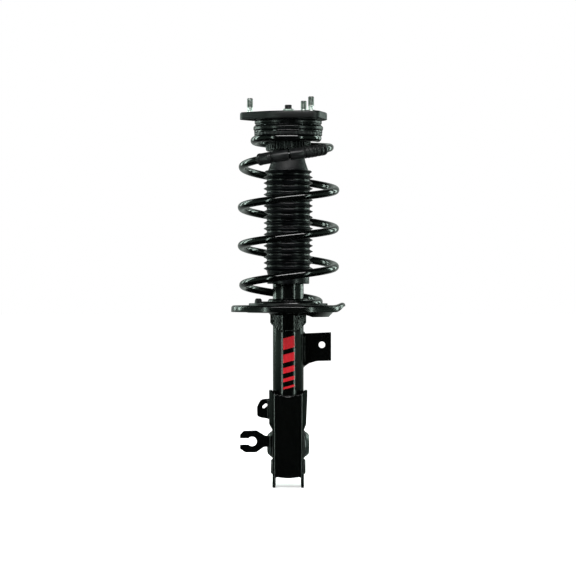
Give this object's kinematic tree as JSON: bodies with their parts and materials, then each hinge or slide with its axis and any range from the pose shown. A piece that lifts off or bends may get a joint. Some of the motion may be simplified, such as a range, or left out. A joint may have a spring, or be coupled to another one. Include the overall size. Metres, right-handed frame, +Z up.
{
  "type": "suspension strut assembly",
  "caption": "Front suspension strut assembly: upper mount with studs, strut bearing, coil spring, dust boot, twin-tube damper, lower spring seat and forked knuckle bracket.",
  "frame": {"origin": "on the piston rod's axis, in the plane of the mount plate's top face, where it meets the car's strut tower", "axes": "+Z up along the rod's axis, out of the mount towards the studs; +X towards the stabiliser link bracket; +Y towards the open side of the knuckle bracket"},
  "size_m": [0.1886, 0.1886, 0.6408],
  "materials": {
    "black_paint": "gloss black powder coat on pressed steel",
    "spring_coat": "gloss black epoxy coat on spring steel wire",
    "rubber": "black moulded rubber, satin",
    "boot_rubber": "black blow-moulded elastomer, satin",
    "black_plastic": "black glass-filled nylon, fine grain",
    "zinc_steel": "bright zinc plate",
    "bright_steel": "bright ground steel",
    "foam": "cellular polyurethane foam",
    "red_film": "red printed film"
  },
  "bodies": {
    "top_mount": {"mount_plate": "black_paint", "mount_rubber": "rubber", "mount_sleeve": "bright_steel", "stud_left": "zinc_steel", "stud_front": "zinc_steel", "stud_rear": "zinc_steel", "rod_nut": "zinc_steel", "rod_washer": "zinc_steel", "piston_rod": "bright_steel", "piston": "bright_steel", "piston_ring": "black_plastic", "piston_nut": "zinc_steel", "rebound_stop": "black_plastic", "bump_stop_cup": "black_paint", "bump_stop": "foam", "bearing_upper_case": "black_plastic"},
    "ball_ring": {"bearing_balls": "bright_steel"},
    "upper_seat": {"bearing_lower_case": "black_plastic", "upper_spring_seat": "black_paint", "upper_isolator": "rubber", "boot_collar": "black_plastic", "coil_spring": "spring_coat", "spring_sleeve_lower": "rubber", "spring_sleeve_upper": "rubber", "dust_boot": "boot_rubber"},
    "strut_body": {"strut_tube": "black_paint", "tube_decal": "red_film", "tube_cap": "black_plastic", "rod_seal": "rubber", "rod_guide": "bright_steel", "pressure_cylinder": "bright_steel", "base_valve": "bright_steel", "lower_spring_seat": "black_paint", "lower_isolator": "rubber", "link_bracket": "black_paint", "knuckle_bracket": "black_paint", "upper_bolt_boss_left": "black_paint", "upper_bolt_boss_right": "black_paint", "lower_bolt_pad_left": "black_paint", "lower_bolt_pad_right": "black_paint", "hose_fork": "black_paint", "wire_tab": "black_paint"}
  },
  "joints": [
    {"name": "steer", "type": "hinge", "parent": "top_mount", "child": "upper_seat", "pos_m": [0, 0, -0.022], "axis": [0, 0, 1], "range_deg": [-40, 40]},
    {"name": "balls_roll", "type": "hinge", "parent": "top_mount", "child": "ball_ring", "pos_m": [0, 0, -0.022], "axis": [0, 0, 1], "range_deg": [-20, 20]},
    {"name": "strut_travel", "type": "slide", "parent": "upper_seat", "child": "strut_body", "axis": [0, 0, 1], "range_m": [0, 0.11], "stiffness_N_per_m": 25000, "springref_m": -0.004, "deforming": ["coil_spring", "dust_boot"]}
  ],
  "couplings": [
    {"joint": "balls_roll", "follows": "steer", "ratio": 0.5}
  ]
}
